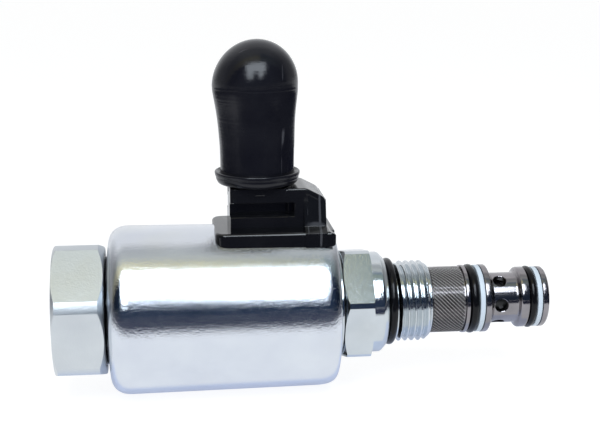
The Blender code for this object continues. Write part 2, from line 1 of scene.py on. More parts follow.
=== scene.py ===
"""Looks of the solenoid cartridge valve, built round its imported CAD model.

The valve's axis is X with the nose at +X, the connector stands up along +Z, and -Y faces the camera.
Shapes are written in millimetres and put into their meshes in metres. An angle round the valve's axis
is counted from -Y towards +Z.
"""
import math

import bmesh
import bpy
import numpy as np
from mathutils import Matrix, Vector


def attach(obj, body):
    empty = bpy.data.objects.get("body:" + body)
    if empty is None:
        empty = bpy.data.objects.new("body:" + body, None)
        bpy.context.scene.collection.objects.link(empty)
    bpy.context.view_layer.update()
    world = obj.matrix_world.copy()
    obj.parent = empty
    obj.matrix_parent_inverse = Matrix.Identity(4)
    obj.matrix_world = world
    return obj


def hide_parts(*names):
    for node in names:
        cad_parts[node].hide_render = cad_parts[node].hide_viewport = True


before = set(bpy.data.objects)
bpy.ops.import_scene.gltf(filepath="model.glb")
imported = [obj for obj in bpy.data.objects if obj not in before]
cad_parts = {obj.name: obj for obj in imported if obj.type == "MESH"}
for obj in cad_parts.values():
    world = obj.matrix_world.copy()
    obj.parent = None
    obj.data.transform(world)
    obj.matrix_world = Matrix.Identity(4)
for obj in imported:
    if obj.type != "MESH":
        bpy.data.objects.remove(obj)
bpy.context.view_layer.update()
MM = 0.001
SAME_POINT = 2e-6  # metres: points closer than this are welded

# Stations along the axis, in millimetres, as in the CAD model
NUT_REAR, NUT_FRONT = -89.2, -75.6
CAN_REAR, CAN_FRONT = -74.7, -13.9
HEX_REAR, HEX_FRONT = -12.3, -4.5
THREAD_START, THREAD_END = 2.7, 12.2
NOSE_END = 45.2
TUBE_R = 7.9
CONNECTOR_X = -34.45
PIN_APART = 4.6
CAGE_BORE_R, CAGE_TAIL_R = 5.55, 7.6


# ---------------------------------------------------------------- mesh tools

def grid_faces(rows, columns, wrap_rows=False, wrap_columns=False):
    """Quads of a grid: each joins point (i, j) with (i, j + 1), (i + 1, j + 1) and (i + 1, j)."""
    i = np.arange(rows if wrap_rows else rows - 1)[:, None]
    j = np.arange(columns if wrap_columns else columns - 1)[None, :]
    below, right = (i + 1) % rows, (j + 1) % columns
    quads = [i * columns + j, i * columns + right, below * columns + right, below * columns + j]
    return np.stack(quads, axis=-1).reshape(-1, 4)


def strip_faces(count):
    """Quads that close a loop of points flat: each joins points i and i + 1 with their opposites."""
    i = np.arange(count // 2 - 1)
    return np.stack([i, i + 1, count - 2 - i, count - 1 - i], axis=-1)


def patch(points, wrap_rows=False, wrap_columns=False, turned_over=False):
    """A grid of points (rows, columns, 3) with its quads, its sides swapped where turned over."""
    quads = grid_faces(points.shape[0], points.shape[1], wrap_rows, wrap_columns)
    return points.reshape(-1, 3), quads[:, ::-1] if turned_over else quads


def welded(name, patches, closed=True):
    """An object out of grids whose edges meet: welded and, where it is closed, faced outwards."""
    starts = np.cumsum([0] + [len(points) for points, _ in patches])
    points = np.concatenate([points for points, _ in patches]) * MM
    quads = np.concatenate([faces + start for (_, faces), start in zip(patches, starts)])
    mesh = bpy.data.meshes.new(name)
    mesh.from_pydata(points, [], quads.tolist())
    bm = bmesh.new()
    bm.from_mesh(mesh)
    bmesh.ops.remove_doubles(bm, verts=bm.verts, dist=SAME_POINT)
    bmesh.ops.dissolve_degenerate(bm, edges=bm.edges, dist=SAME_POINT / 2)
    if closed:
        bmesh.ops.recalc_face_normals(bm, faces=bm.faces)
        if bm.calc_volume(signed=True) < 0.0:
            bmesh.ops.reverse_faces(bm, faces=bm.faces)
    bm.to_mesh(mesh)
    bm.free()
    obj = bpy.data.objects.new(name, mesh)
    bpy.context.scene.collection.objects.link(obj)
    return obj


def finished(mesh, finish, sharp):
    """Shades a mesh smooth apart from edges sharper than this many degrees, and gives it its finish."""
    mesh.shade_smooth()
    mesh.set_sharp_from_angle(angle=math.radians(sharp))
    mesh.materials.append(finish)


def piece(name, patches, body, finish, nodes, sharp=35.0, closed=True):
    """A welded object with its finish, put on its body."""
    obj = welded(name, patches, closed)
    finished(obj.data, finish, sharp)
    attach(obj, body)
    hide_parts(*nodes)
    return obj


def filleted(corners, closed=True, steps=4):
    """Points (u, v) of an outline or profile whose corners (u, v, fillet) are rounded.

    A corner becomes the curve (1 - t)^2 a + 2 t (1 - t) corner + t^2 b, where a and b lie one fillet
    along each side of it, but never so far that two fillets meet.
    """
    side_share = 0.48
    spots = [np.array(corner[:2], float) for corner in corners]
    out = []
    for k, corner in enumerate(corners):
        fillet = corner[2] if len(corner) > 2 else 0.0
        at_end = not closed and k in (0, len(corners) - 1)
        if fillet <= 0.0 or at_end:
            out.append(spots[k])
            continue
        before, after = spots[k - 1] - spots[k], spots[(k + 1) % len(spots)] - spots[k]
        a, b = (spots[k] + side / np.linalg.norm(side) * min(fillet, side_share * np.linalg.norm(side))
                for side in (before, after))
        t = np.linspace(0.0, 1.0, steps + 1)[:, None]
        out.extend((1 - t) ** 2 * a + 2 * t * (1 - t) * spots[k] + t ** 2 * b)
    return np.array(out)


def round_axis(along, radius, angle):
    """Points at a distance along the axis, a radius from it and an angle round it."""
    along, radius, angle = np.broadcast_arrays(along, radius, angle)
    return np.stack([along, -radius * np.cos(angle), radius * np.sin(angle)], axis=-1)


def round_upright(middle_x, radius, height, angle):
    """Points round an upright axis at this x, a radius from it, at a height."""
    return np.stack([middle_x + radius * np.cos(angle), radius * np.sin(angle), height + 0.0 * angle], axis=-1)


def full_turn(columns):
    """Angles of that many columns once round."""
    return np.linspace(0.0, 2.0 * np.pi, columns, endpoint=False)


def turned(name, corners, body, finish, nodes, columns=144, closed=True):
    """A turned piece: each profile point (x, r) is carried round the axis."""
    profile = filleted(corners, closed)
    points = round_axis(profile[:, :1], profile[:, 1:], full_turn(columns))
    piece(name, [patch(points, wrap_rows=closed, wrap_columns=True)], body, finish, nodes)


def loft(outline, levels, insets, across="y"):
    """A closed loop of points carried from level to level, its ends closed by strips.

    At each level the loop is drawn in along its own normals by that level's inset.
    """
    ahead, behind = np.roll(outline, -1, axis=0), np.roll(outline, 1, axis=0)
    along = ahead - behind
    normals = np.stack([along[:, 1], -along[:, 0]], axis=-1)
    normals /= np.maximum(np.linalg.norm(normals, axis=1, keepdims=True), 1e-9)
    u, v = outline.T
    normals *= np.sign(np.sum(u * np.roll(v, -1) - np.roll(u, -1) * v))
    flat = outline[None] - normals[None] * np.asarray(insets)[:, None, None]
    level = np.broadcast_to(np.asarray(levels)[:, None, None], flat.shape[:2] + (1,))
    parts = {"x": [level, flat], "y": [flat[..., :1], level, flat[..., 1:]], "z": [flat, level]}
    shape, quads = patch(np.concatenate(parts[across], axis=-1), wrap_columns=True)
    first = strip_faces(len(outline))
    last = first[:, ::-1] + (len(levels) - 1) * len(outline)
    return shape, np.concatenate([quads, first, last])


def prism(outline, span, edge, across="y", steps=3):
    """A loft between two levels whose rims are quarter circles: edge (1 - sin a) in, edge (1 - cos a) on."""
    a = np.linspace(0.0, np.pi / 2, steps + 1)
    inset, rise = edge * (1 - np.sin(a)), edge * (1 - np.cos(a))
    return loft(outline, np.concatenate([span[0] + rise, (span[1] - rise)[::-1]]),
                np.concatenate([inset, inset[::-1]]), across)


def joined(base, steps):
    """Unites or cuts the base with each (object, operation), keeps the result and drops the tools."""
    for tool, operation in steps:
        modifier = base.modifiers.new(tool.name, 'BOOLEAN')
        modifier.operation = operation
        modifier.solver = 'EXACT'
        modifier.object = tool
    graph = bpy.context.evaluated_depsgraph_get()
    mesh = bpy.data.meshes.new_from_object(base.evaluated_get(graph))
    for tool, _ in steps:
        bpy.data.objects.remove(tool)
    base.modifiers.clear()
    base.data = mesh
    return base


# ---------------------------------------------------------------- finishes

def put(tree, value, place):
    """Sets an input to a number or a colour, or links an output to it."""
    if isinstance(value, (int, float)):
        place.default_value = value
    elif isinstance(value, tuple):
        place.default_value = (*value, 1.0)
    else:
        tree.links.new(value, place)


def math_node(tree, operation, *values):
    node = tree.nodes.new('ShaderNodeMath')
    node.operation = operation
    for value, place in zip(values, node.inputs):
        put(tree, value, place)
    return node.outputs[0]


def noise(tree, vector, scale, detail=2.0, roughness=0.5):
    node = tree.nodes.new('ShaderNodeTexNoise')
    for name, value in (('Vector', vector), ('Scale', scale), ('Detail', detail), ('Roughness', roughness)):
        put(tree, value, node.inputs[name])
    return node.outputs['Fac']


def colour_mix(tree, factor, first, second, blend='MIX'):
    node = tree.nodes.new('ShaderNodeMix')
    node.data_type = 'RGBA'
    node.blend_type = blend
    for value, place in ((factor, 0), (first, 6), (second, 7)):
        put(tree, value, node.inputs[place])
    return node.outputs[2]


def spread(tree, value, low, high, low_to=0.0, high_to=1.0):
    """Maps low to high onto low_to to high_to, and stays at these limits outside."""
    node = tree.nodes.new('ShaderNodeMapRange')
    tree.links.new(value, node.inputs['Value'])
    for name, number in (('From Min', low), ('From Max', high), ('To Min', low_to), ('To Max', high_to)):
        node.inputs[name].default_value = number
    return node.outputs['Result']


def new_group(name, numbers, results):
    """A node group that takes a position and numbers: its tree, what goes in and what comes out."""
    tree = bpy.data.node_groups.new(name, 'ShaderNodeTree')
    tree.interface.new_socket(name="Position", in_out='INPUT', socket_type='NodeSocketVector')
    for title, value in numbers.items():
        made = tree.interface.new_socket(name=title, in_out='INPUT', socket_type='NodeSocketFloat')
        made.default_value = value
    for title in results:
        tree.interface.new_socket(name=title, in_out='OUTPUT', socket_type='NodeSocketFloat')
    source = tree.nodes.new('NodeGroupInput')
    target = tree.nodes.new('NodeGroupOutput')
    return tree, source.outputs, target.inputs


def make_grain():
    """Fine grains of plated or moulded skins: their height and a soft mottling."""
    tree, source, target = new_group("surface_grain", {"Grain scale": 2500.0, "Mottle scale": 90.0},
                                     ("Height", "Mottle"))
    position, scale = source["Position"], source["Grain scale"]
    fine = noise(tree, position, scale, 3.0, 0.6)
    coarse = noise(tree, position, math_node(tree, 'MULTIPLY', scale, 0.45), 2.0, 0.5)
    mottle = noise(tree, position, source["Mottle scale"], 4.0, 0.55)
    height = math_node(tree, 'ADD', math_node(tree, 'MULTIPLY', fine, 0.7),
                       math_node(tree, 'MULTIPLY', coarse, 0.3))
    tree.links.new(height, target["Height"])
    tree.links.new(spread(tree, mottle, 0.3, 0.7), target["Mottle"])
    return tree


def make_turning():
    """Fine rings that a lathe leaves: a height from noise that changes only along one axis."""
    tree, source, target = new_group("turning_rings", {"Ring scale": 9000.0}, ("Height",))
    parts = tree.nodes.new('ShaderNodeSeparateXYZ')
    tree.links.new(source["Position"], parts.inputs[0])
    rings = tree.nodes.new('ShaderNodeTexNoise')
    rings.noise_dimensions = '1D'
    rings.inputs['Detail'].default_value = 3.0
    tree.links.new(parts.outputs[0], rings.inputs['W'])
    tree.links.new(source["Ring scale"], rings.inputs['Scale'])
    tree.links.new(rings.outputs['Fac'], target["Height"])
    return tree


def make_hairlines():
    """Rare thin scratches: bands of a noise stretched along a slant, broken up by another noise."""
    tree, source, target = new_group("hairline_scratches", {}, ("Mask",))
    position = source["Position"]
    masks = []
    for turn, size in (((0.3, 0.5, 0.2), (900.0, 60.0, 30.0)), ((1.1, -0.6, 0.9), (60.0, 1000.0, 40.0))):
        slant = tree.nodes.new('ShaderNodeMapping')
        slant.inputs['Rotation'].default_value = turn
        slant.inputs['Scale'].default_value = size
        tree.links.new(position, slant.inputs['Vector'])
        masks.append(spread(tree, noise(tree, slant.outputs[0], 1.0, 0.0), 0.74, 0.78))
    patchy = spread(tree, noise(tree, position, 160.0, 1.0), 0.5, 0.6)
    both = math_node(tree, 'MAXIMUM', masks[0], masks[1])
    tree.links.new(math_node(tree, 'MULTIPLY', both, patchy), target["Mask"])
    return tree


GRAIN = make_grain()
TURNING = make_turning()
HAIRLINES = make_hairlines()


class Finish:
    """A material under way: its tree, its shader and the object position that its patterns use."""

    def __init__(self, name, colour, metallic, roughness):
        self.roughness = roughness
        self.material = bpy.data.materials.new(name)
        self.material.use_nodes = True
        self.tree = self.material.node_tree
        self.shader = self.tree.nodes["Principled BSDF"]
        self.shader.inputs["Metallic"].default_value = metallic
        self.shader.inputs["Roughness"].default_value = roughness
        self.shader.inputs["Base Color"].default_value = (*colour, 1.0)
        self.position = self.tree.nodes.new('ShaderNodeTexCoord').outputs['Object']

    def group(self, tree, **values):
        node = self.tree.nodes.new('ShaderNodeGroup')
        node.node_tree = tree
        self.tree.links.new(self.position, node.inputs["Position"])
        for name, value in values.items():
            node.inputs[name.replace("_", " ")].default_value = value
        return node

    def feed(self, value, name):
        put(self.tree, value, self.shader.inputs[name])

    def mottle_roughness(self, mottle, low, high):
        """Lets the roughness drift between these two shares of itself."""
        self.feed(spread(self.tree, mottle, 0.0, 1.0, self.roughness * low, self.roughness * high), "Roughness")

    def bump(self, height, depth_mm, normal=None):
        node = self.tree.nodes.new('ShaderNodeBump')
        node.inputs['Distance'].default_value = depth_mm * MM
        self.tree.links.new(height, node.inputs['Height'])
        if normal is not None:
            self.tree.links.new(normal, node.inputs['Normal'])
        return node.outputs['Normal']


def plated_steel(name, bright, dull, depth, grain_scale, roughness):
    """Zinc plate: cool silver that drifts towards a warmer and a duller tone, over a fine grain."""
    made = Finish(name, bright, 1.0, roughness)
    grain = made.group(GRAIN, Grain_scale=grain_scale, Mottle_scale=70.0)
    drift = noise(made.tree, made.position, 38.0, 2.0)
    straw = colour_mix(made.tree, spread(made.tree, drift, 0.55, 0.75), bright, (0.75, 0.77, 0.74))
    tone = colour_mix(made.tree, grain.outputs["Mottle"], straw, dull)
    made.feed(tone, "Base Color")
    made.mottle_roughness(grain.outputs["Mottle"], 0.85, 1.2)
    made.feed(made.bump(grain.outputs["Height"], depth), "Normal")
    return made.material


def machined_steel(name, colour, roughness, ring_depth=0.004, ring_scale=7000.0):
    """Turned steel: rings along the axis over a faint grain."""
    made = Finish(name, colour, 1.0, roughness)
    rings = made.group(TURNING, Ring_scale=ring_scale)
    grain = made.group(GRAIN, Grain_scale=4000.0, Mottle_scale=160.0)
    darker = tuple(0.78 * c for c in colour)
    made.feed(colour_mix(made.tree, grain.outputs["Mottle"], colour, darker), "Base Color")
    made.mottle_roughness(grain.outputs["Mottle"], 0.8, 1.3)
    first = made.bump(rings.outputs["Height"], ring_depth)
    made.feed(made.bump(grain.outputs["Height"], 0.003, normal=first), "Normal")
    return made.material


def moulded(name, colour, roughness, depth, grain_scale, dust=(0.10, 0.10, 0.11), dust_share=0.25,
            rings=0.0, gloss=0.5):
    """Rubber or plastic: dark with a faint bloom and hairline scratches, over a fine moulded grain.

    Rings are the level lines of the mould's turned core, on a piece that stands upright.
    """
    made = Finish(name, colour, 0.0, roughness)
    made.feed(gloss, "Specular IOR Level")
    grain = made.group(GRAIN, Grain_scale=grain_scale, Mottle_scale=130.0)
    hairlines = made.group(HAIRLINES).outputs["Mask"]
    share = math_node(made.tree, 'MULTIPLY', grain.outputs["Mottle"], dust_share)
    worn = math_node(made.tree, 'ADD', share, math_node(made.tree, 'MULTIPLY', hairlines, 0.5))
    made.feed(colour_mix(made.tree, worn, colour, dust), "Base Color")
    made.mottle_roughness(grain.outputs["Mottle"], 0.85, 1.25)
    normal = made.bump(grain.outputs["Height"], depth)
    if rings:
        turned_up = made.tree.nodes.new('ShaderNodeMapping')
        turned_up.inputs['Rotation'].default_value = (0.0, math.pi / 2, 0.0)
        made.tree.links.new(made.position, turned_up.inputs['Vector'])
        core = made.tree.nodes.new('ShaderNodeGroup')
        core.node_tree = TURNING
        core.inputs["Ring scale"].default_value = 1400.0
        made.tree.links.new(turned_up.outputs[0], core.inputs["Position"])
        normal = made.bump(core.outputs["Height"], rings, normal=normal)
    made.feed(normal, "Normal")
    return made.material


def woven_wire():
    """Screen wire with painted shade: dark where it dives between its neighbours, by its distance from the
    valve's axis.
    """
    made = Finish("screen_wire", (0.5, 0.47, 0.46), 1.0, 0.3)
    flat = made.tree.nodes.new('ShaderNodeVectorMath')
    flat.operation = 'MULTIPLY'
    flat.inputs[1].default_value = (0.0, 1.0, 1.0)
    made.tree.links.new(made.position, flat.inputs[0])
    length = made.tree.nodes.new('ShaderNodeVectorMath')
    length.operation = 'LENGTH'
    made.tree.links.new(flat.outputs[0], length.inputs[0])
    diving_r, proud_r = 9.04, 9.12
    share = spread(made.tree, length.outputs['Value'], diving_r * MM, proud_r * MM)
    # painted shade: wire lying deeper than proud_r fades to near black at diving_r, standing in for the shade
    # between crossing wires
    made.feed(colour_mix(made.tree, share, (0.035, 0.03, 0.03), (0.75, 0.72, 0.70)), "Base Color")
    return made.material


ZINC_CAN = plated_steel("zinc_plate_drawn", (0.80, 0.83, 0.87), (0.73, 0.76, 0.82), 0.085, 2300.0, 0.08)
ZINC_NUT = plated_steel("zinc_plate_nut", (0.72, 0.75, 0.76), (0.64, 0.67, 0.69), 0.05, 2000.0, 0.30)
ZINC_BODY = plated_steel("zinc_plate_body", (0.70, 0.74, 0.76), (0.60, 0.64, 0.67), 0.03, 2100.0, 0.11)
POLISHED = machined_steel("ground_steel", (0.36, 0.34, 0.35), 0.13)
SPOOL_STEEL = machined_steel("dark_spool_steel", (0.05, 0.05, 0.05), 0.3)
STAINLESS = machined_steel("stainless_steel", (0.60, 0.60, 0.59), 0.25)
IRON = machined_steel("soft_iron", (0.36, 0.36, 0.37), 0.38)
SPRING = machined_steel("spring_steel", (0.30, 0.31, 0.33), 0.3, 0.002)
MESH_WIRE = woven_wire()
BRASS = machined_steel("brass_shim", (0.62, 0.46, 0.2), 0.3)
TIN = machined_steel("tinned_brass", (0.66, 0.66, 0.64), 0.25, 0.002)
COPPER = machined_steel("enamelled_copper", (0.55, 0.2, 0.08), 0.33, 0.03, 2500.0)
O_RING = moulded("oiled_rubber", (0.003, 0.003, 0.004), 0.14, 0.002, 5000.0, dust_share=0.02, gloss=0.25)
PLASTIC = moulded("black_plastic", (0.005, 0.005, 0.006), 0.12, 0.003, 2600.0, dust_share=0.02)
CAP_RUBBER = moulded("cap_rubber", (0.005, 0.005, 0.008), 0.19, 0.03, 1800.0, dust_share=0.04, rings=0.018,
                     gloss=0.35)
PTFE = moulded("white_ptfe", (0.64, 0.71, 0.77), 0.4, 0.002, 3000.0, (0.6, 0.68, 0.75), 0.3)
NYLON = moulded("bobbin_nylon", (0.12, 0.1, 0.08), 0.5, 0.003, 2600.0)


# ---------------------------------------------------------------- coil and nut

def section_angles(flats, turned_r, corner_at):
    """Angles round a hexagon with samples on each side of every corner's turned strip."""
    limit = math.degrees(math.acos(flats / 2 / turned_r))
    sector = np.concatenate([np.linspace(-30.0, -limit, 5)[:-1], np.linspace(-limit, limit, 15)[:-1],
                             np.linspace(limit, 30.0, 5)[:-1]])
    turns = 60.0 * np.arange(6)[:, None] + 30.0 + corner_at
    return np.radians((turns + sector[None]).ravel())


def hexagon_radius(angle, flats, turned_r, corner_at):
    """Half the width over the cosine of the angle from the flat's middle, cut off at turned_r."""
    off = np.mod(angle - math.radians(corner_at), math.pi / 3) - math.pi / 6
    return np.minimum(flats / 2 / np.cos(off), turned_r)


def chamfered(radius, turned_r, depth, length):
    """Radius of the end face and how far back the flat starts, on a cone of this depth and length."""
    start = turned_r - depth
    return np.minimum(radius, start), np.clip((radius - start) / depth, 0.0, 1.0) * length


def make_nut():
    """Hexagonal coil nut: each ring of points is the hexagon's section, drawn in on the end cones.

    A groove in its front face holds the seal, and its edges are broken by a small bevel.
    """
    flats, turned_r, corner_at = 34.2, 18.9, 18.8
    groove_inner, groove_outer, groove_floor = 12.6, 15.2, NUT_FRONT - 1.7
    angle = section_angles(flats, turned_r, corner_at)
    radius = hexagon_radius(angle, flats, turned_r, corner_at)
    rear_r, rear_in = chamfered(radius, turned_r, 1.7, 1.0)
    front_r, front_in = chamfered(radius, turned_r, 2.0, 1.5)
    bore = TUBE_R + 0.3
    rings = [(NUT_REAR + 1.0, bore), (NUT_REAR, bore + 1.0), (NUT_REAR, rear_r - 1.2),
             (NUT_REAR, rear_r), (NUT_REAR + rear_in, radius), (NUT_FRONT - front_in, radius),
             (NUT_FRONT, front_r), (NUT_FRONT, groove_outer), (groove_floor, groove_outer),
             (groove_floor, groove_inner), (NUT_FRONT, groove_inner), (NUT_FRONT, bore)]
    points = np.stack([round_axis(x, r, angle) for x, r in rings])
    nut = piece("coil_nut_visual", [patch(points, True, True)], "valve", ZINC_NUT, ["coil_nut"],
                sharp=20.0)
    edge = nut.modifiers.new("Edges", 'BEVEL')
    edge.width = 0.16 * MM
    edge.segments = 2
    edge.angle_limit = math.radians(20.0)


def make_can():
    """Drawn can: its profile carried round the axis, without the notch that the connector sits in.

    Columns run from one side of the notch round to the other, and each ring's first and last angle is
    asin(half the notch's width / radius), so that the notch's sides are straight. A ring close to each
    side of the notch's end keeps the bend between the two parts out of the shading.
    """
    wall, corner = 1.6, 5.0
    rear_r, front_r = 22.85, 22.25
    mouth_r = front_r - corner - 0.5
    half_notch, notch_rear = 8.3, -43.1
    corners = [(CAN_REAR, TUBE_R + 0.6, 0), (CAN_REAR, rear_r, corner * 1.15),
               (CAN_FRONT, front_r, corner * 1.1), (CAN_FRONT, mouth_r, 0)]
    profile = filleted(corners, closed=False, steps=14)
    near = np.searchsorted(profile[:, 0], notch_rear)
    share = (notch_rear - profile[near - 1, 0]) / (profile[near, 0] - profile[near - 1, 0])
    split = profile[near - 1] + share * (profile[near] - profile[near - 1])
    close = 0.02
    before, after = split + (profile[near - 1] - split) * close, split + (profile[near] - split) * close
    rear_part = np.concatenate([profile[:near], before[None], split[None]])
    front_part = np.concatenate([split[None], after[None], profile[near:]])
    edge = np.arcsin(half_notch / front_part[:, 1])[:, None]
    around, over = np.linspace(0.0, 1.0, 169)[None], np.linspace(-1.0, 1.0, 25)[None]
    up = math.pi / 2
    front_angles = up + edge + (2 * math.pi - 2 * edge) * around
    first_edge = edge[0, 0]
    rear_angles = up + np.concatenate([(first_edge + (2 * math.pi - 2 * first_edge) * around)[:, :-1],
                                       (first_edge * over)[:, :-1]], axis=1)
    front = round_axis(front_part[:, :1], front_part[:, 1:], front_angles)
    rear = round_axis(rear_part[:, :1], rear_part[:, 1:], rear_angles)
    can = piece("coil_can_visual", [patch(rear, wrap_columns=True, turned_over=True),
                                    patch(front, turned_over=True)],
                "coil", ZINC_CAN, ["coil_can"], closed=False)
    thick = can.modifiers.new("Wall", 'SOLIDIFY')
    thick.thickness = wall * MM
    thick.offset = -1.0


def make_washers():
    """The thrust washer, and the front flux plate with its coned rim."""
    turned("thrust_washer_visual", [(-13.6, 8.4, 0), (-13.6, 14.65, 0.25), (-12.6, 14.65, 0.25),
                                    (-12.6, 8.4, 0)], "valve", ZINC_BODY, ["thrust_washer"])
    turned("front_flux_plate_visual", [(-15.8, 8.2, 0), (-15.8, 17.15, 0.2), (-17.7, 20.1, 0.2),
                                       (-18.6, 20.1, 0.2), (-18.6, 8.2, 0)], "coil", IRON,
           ["front_flux_plate"])


def make_tube():
    """Guide tube, and its end plug with a hexagon socket.

    The socket's radius is its corner's times cos 30 / cos(angle from the flat's middle).
    """
    turned("guide_tube_visual", [(-86.8, 6.7, 0.15), (-86.8, 7.9, 0.3), (-5.8, 7.9, 0.2), (-5.8, 6.7, 0.15)],
           "valve", STAINLESS, ["guide_tube"])
    corner_r = 2.9
    angle = full_turn(144)
    hexagonal = corner_r * math.cos(math.pi / 6) / np.cos(np.mod(angle, math.pi / 3) - math.pi / 6)
    rings = [(-82.2, 0.0), (-82.2, hexagonal), (-86.2, hexagonal), (-86.2, 5.7), (-86.0, 6.1),
             (-85.7, 6.4), (-80.8, 6.4), (-80.8, 0.0)]
    points = np.stack([round_axis(x, r, angle) for x, r in rings])
    piece("tube_end_plug_visual", [patch(points, wrap_columns=True)], "valve", STAINLESS,
          ["tube_end_plug"], sharp=25.0)


# ---------------------------------------------------------------- connector and cap

def loop_box(first_range, second_range, fillet, steps=5):
    """A rectangle with rounded corners."""
    (u0, u1), (v0, v1) = first_range, second_range
    return filleted([(u0, v0, fillet), (u1, v0, fillet), (u1, v1, fillet), (u0, v1, fillet)], True, steps)


def circle(middle_x, radius, count):
    """A level circle whose middle is at y = 0."""
    angle = full_turn(count)
    return np.stack([middle_x + radius * np.cos(angle), radius * np.sin(angle)], axis=-1)


def shroud_outline(inset):
    """The socket's rounded rectangle, drawn in by an inset."""
    x, y, fillet = 6.8 - inset, 5.8 - inset, (4.5 - inset) * 1.1
    left, right = CONNECTOR_X - x, CONNECTOR_X + x
    return filleted([(right, -y, fillet), (right, y, fillet), (left, y, fillet), (left, -y, fillet)], True, 10)


def make_connector():
    """Moulded housing: rounded prisms made one solid, hollowed for the socket, and its two contacts.

    Each outline starts where its end strips join opposite points. The first cut rounds off the flange's
    front end, and a cone then clears the room of the can.
    """
    flange_outline = filleted([(-46.4, -11.8, 3.4), (-14.5, -11.8, 1.6), (-14.5, 11.8, 1.6),
                               (-46.4, 11.8, 3.4)], True, 7)
    flange = welded("flange", [prism(flange_outline, (15.0, 22.85), 0.85, "z", 6)])
    tongue = welded("tongue", [prism(loop_box((-42.8, -14.6), (20.9, 22.5), 0.3), (-8.0, 8.0), 0.2)])
    tower = welded("tower", [prism(loop_box((-42.2, -25.2), (21.6, 30.4), 0.6), (-7.8, 7.8), 0.35)])
    panel_outline = filleted([(-42.2, -6.8, 0.2), (-41.3, -7.8, 0.3), (-25.1, -7.8, 0.3),
                              (-25.1, 7.8, 0.3), (-41.3, 7.8, 0.3), (-42.2, 6.8, 0.2)], True, 3)
    panel = welded("panel", [prism(panel_outline, (29.9, 33.9), 0.06, "z")])
    block_outline = filleted([(-28.0, 21.8, 1.3), (-17.0, 21.8, 1.3), (-17.0, 31.25, 1.4),
                              (-22.1, 33.9, 0.8), (-28.0, 33.9, 1.3)], True, 5)
    block = welded("block", [prism(block_outline, (-7.9, 7.9), 0.5, steps=4)])
    end_outline = filleted([(-17.03, 25.0, 0.1), (-16.83, 22.93, 2.2), (-14.37, 22.1, 1.2),
                            (-14.37, 16.4, 0.1), (-10.0, 16.4, 0.1), (-10.0, 25.0, 0.1)], True, 5)
    end = welded("rounded_end", [prism(end_outline, (-20.0, 20.0), 0.05)])
    rib_side = [(12.05, 15.6, 0.5), (12.05, 22.6, 0.08), (9.4, 24.0, 0.08), (7.75, 30.8, 0.2)]
    rib_outline = filleted(rib_side + [(-y, z, fillet) for y, z, fillet in rib_side[::-1]], True, 3)
    rib = welded("rib", [prism(rib_outline, (-22.75, -16.95), 0.04, "x")])
    cone_x, cone_r = np.array([[-60.0], [-60.0], [-5.0], [-5.0]]), np.array([[0.0], [22.76], [22.21], [0.0]])
    clear = welded("clear", [patch(round_axis(cone_x, cone_r, full_turn(160)), wrap_columns=True)])
    boss = welded("boss", [prism(circle(CONNECTOR_X, 8.0, 64), (31.9, 41.0), 0.5, "z")])
    shroud = welded("shroud", [prism(shroud_outline(0.0), (39.0, 58.0), 0.3, "z")])
    hollow = welded("hollow", [prism(shroud_outline(1.5), (41.5, 63.0), 0.3, "z")])
    steps = [(end, 'DIFFERENCE'), (rib, 'UNION'), (clear, 'DIFFERENCE'), (tongue, 'UNION'),
             (tower, 'UNION'), (panel, 'UNION'), (block, 'UNION'), (boss, 'UNION'), (shroud, 'UNION'),
             (hollow, 'DIFFERENCE')]
    for side in (-1.0, 1.0):
        name = f"recess_{int(side)}"
        levels = side * np.array([4.4, 7.55, 7.7, 7.82, 9.0])
        grown = [0.0, 0.0, -0.08, -0.22, -0.3]
        for end_name, x_range in (("", (-44.0, -27.05)), ("_end", (-26.75, -25.35))):
            opening = loft(loop_box(x_range, (26.5, 30.05), 0.3), levels, grown)
            steps.append((welded(name + end_name, [opening]), 'DIFFERENCE'))
        seat = prism(circle(CONNECTOR_X + side * PIN_APART / 2, 1.1, 24), (37.2, 43.0), 0.05, "z")
        steps.append((welded(f"seat_{int(side)}", [seat]), 'DIFFERENCE'))
    housing = joined(flange, steps)
    housing.name = "connector_housing_visual"
    housing.data.materials.clear()
    finished(housing.data, PLASTIC, 30.0)
    flat = housing.modifiers.new("Flat faces", 'WEIGHTED_NORMAL')
    flat.keep_sharp = True
    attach(housing, "coil")
    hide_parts("connector_housing")
    profile = filleted([(37.5, 0.0, 0), (37.5, 0.8, 0.1), (51.0, 0.8, 0.5), (51.5, 0.0, 0)], False)
    for number, side in enumerate((-1.0, 1.0), start=1):
        points = round_upright(CONNECTOR_X + side * PIN_APART / 2, profile[:, 1:], profile[:, :1],
                               full_turn(32))
        piece(f"terminal_pin_{number}_visual", [patch(points, wrap_columns=True)], "coil", TIN,
              [f"terminal_pin_{number}"])


